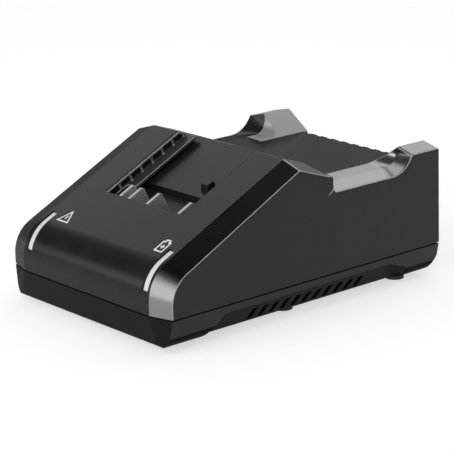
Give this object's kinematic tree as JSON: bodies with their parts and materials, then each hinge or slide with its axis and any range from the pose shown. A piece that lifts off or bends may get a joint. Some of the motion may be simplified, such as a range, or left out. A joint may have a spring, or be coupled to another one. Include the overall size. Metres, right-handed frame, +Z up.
{
  "type": "power tool battery charger",
  "caption": "Tabletop charger with a sloping battery channel between slotted guide rails, bevelled metallic trims, raised rear horns and a vented base on rubber feet.",
  "frame": {"origin": "on the surface that the feet stand on, below the middle of the length and width", "axes": "+Z up, +Y from the sloping front towards the cord end, +X to the right seen from the front"},
  "size_m": [0.126, 0.1846, 0.078],
  "materials": {
    "upper_housing": "fine matt moulded texture",
    "lower_housing": "fine matt moulded texture, a shade darker",
    "metallic_trim": "metallic grey lacquer, smooth",
    "light_guide": "milky clear",
    "rail_plastic": "glass-filled, smooth",
    "carrier_plastic": "smooth",
    "contact_metal": "nickel plated",
    "rubber": "matt",
    "steel": "zinc plated",
    "board": "solder mask",
    "led": "clear",
    "ferrite": "sintered",
    "copper": "enamelled copper wire",
    "can_sleeve": "sleeved can",
    "epoxy": "boxed film capacitor",
    "fuse_glass": "ceramic tube with plated caps",
    "varistor_coat": "epoxy coat",
    "epoxy_black": "moulded epoxy",
    "heat_sink": "extruded",
    "terminal_plastic": "moulded"
  },
  "bodies": {
    "root": {"top_shell": "upper_housing", "bottom_shell": "lower_housing", "front_trim_left": "metallic_trim", "front_trim_right": "metallic_trim", "rear_trim_left": "metallic_trim", "rear_trim_right": "metallic_trim", "light_pipe_left": "light_guide", "light_pipe_right": "light_guide", "guide_rail_left": "rail_plastic", "guide_rail_right": "rail_plastic", "contact_carrier": "carrier_plastic", "contact_blade_1": "contact_metal", "contact_blade_2": "contact_metal", "contact_blade_3": "contact_metal", "contact_blade_4": "contact_metal", "cord_gland": "rubber", "rubber_feet": "rubber", "housing_screws": "steel", "board_screws": "steel", "main_board": "board", "status_led_left": "led", "status_led_right": "led", "transformer_core": "ferrite", "transformer_winding": "copper", "choke_core": "ferrite", "choke_winding": "copper", "mains_capacitor": "can_sleeve", "output_capacitors": "can_sleeve", "suppression_capacitor": "epoxy", "fuse": "fuse_glass", "varistor": "varistor_coat", "bridge_rectifier": "epoxy_black", "heat_sink": "heat_sink", "power_transistor": "epoxy_black", "controller": "epoxy_black", "mains_terminal": "terminal_plastic"}
  },
  "joints": []
}
